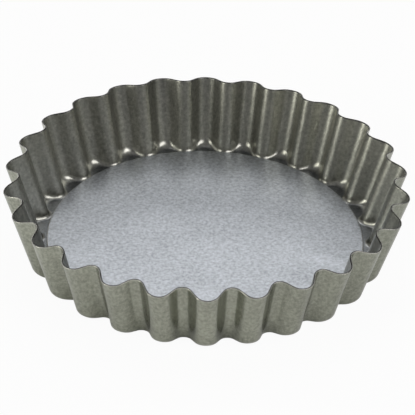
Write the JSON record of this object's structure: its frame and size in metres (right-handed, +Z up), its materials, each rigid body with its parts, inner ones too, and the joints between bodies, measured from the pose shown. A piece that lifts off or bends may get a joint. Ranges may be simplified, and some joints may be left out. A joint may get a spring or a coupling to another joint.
{
  "type": "mini tart tin",
  "caption": "Small round fluted tart tin with a push-out bottom: a flared, deeply fluted sheet ring whose narrow flat ledge carries a loose flat disc.",
  "frame": {"origin": "centre of the plane the tin rests on, on the flutes' common axis", "axes": "+Z up out of the open mouth; an outward flute's crest faces -Y, towards the picture's camera"},
  "size_m": [0.0992, 0.1, 0.0188],
  "materials": {
    "coated_wall": "semi-gloss olive-grey non-stick coating on thin steel sheet, fine speckle",
    "coated_base": "semi-gloss blue-grey non-stick coating on steel sheet, fine mottle"
  },
  "bodies": {
    "root": {"fluted_ring": "coated_wall", "loose_base": "coated_base"}
  },
  "joints": []
}
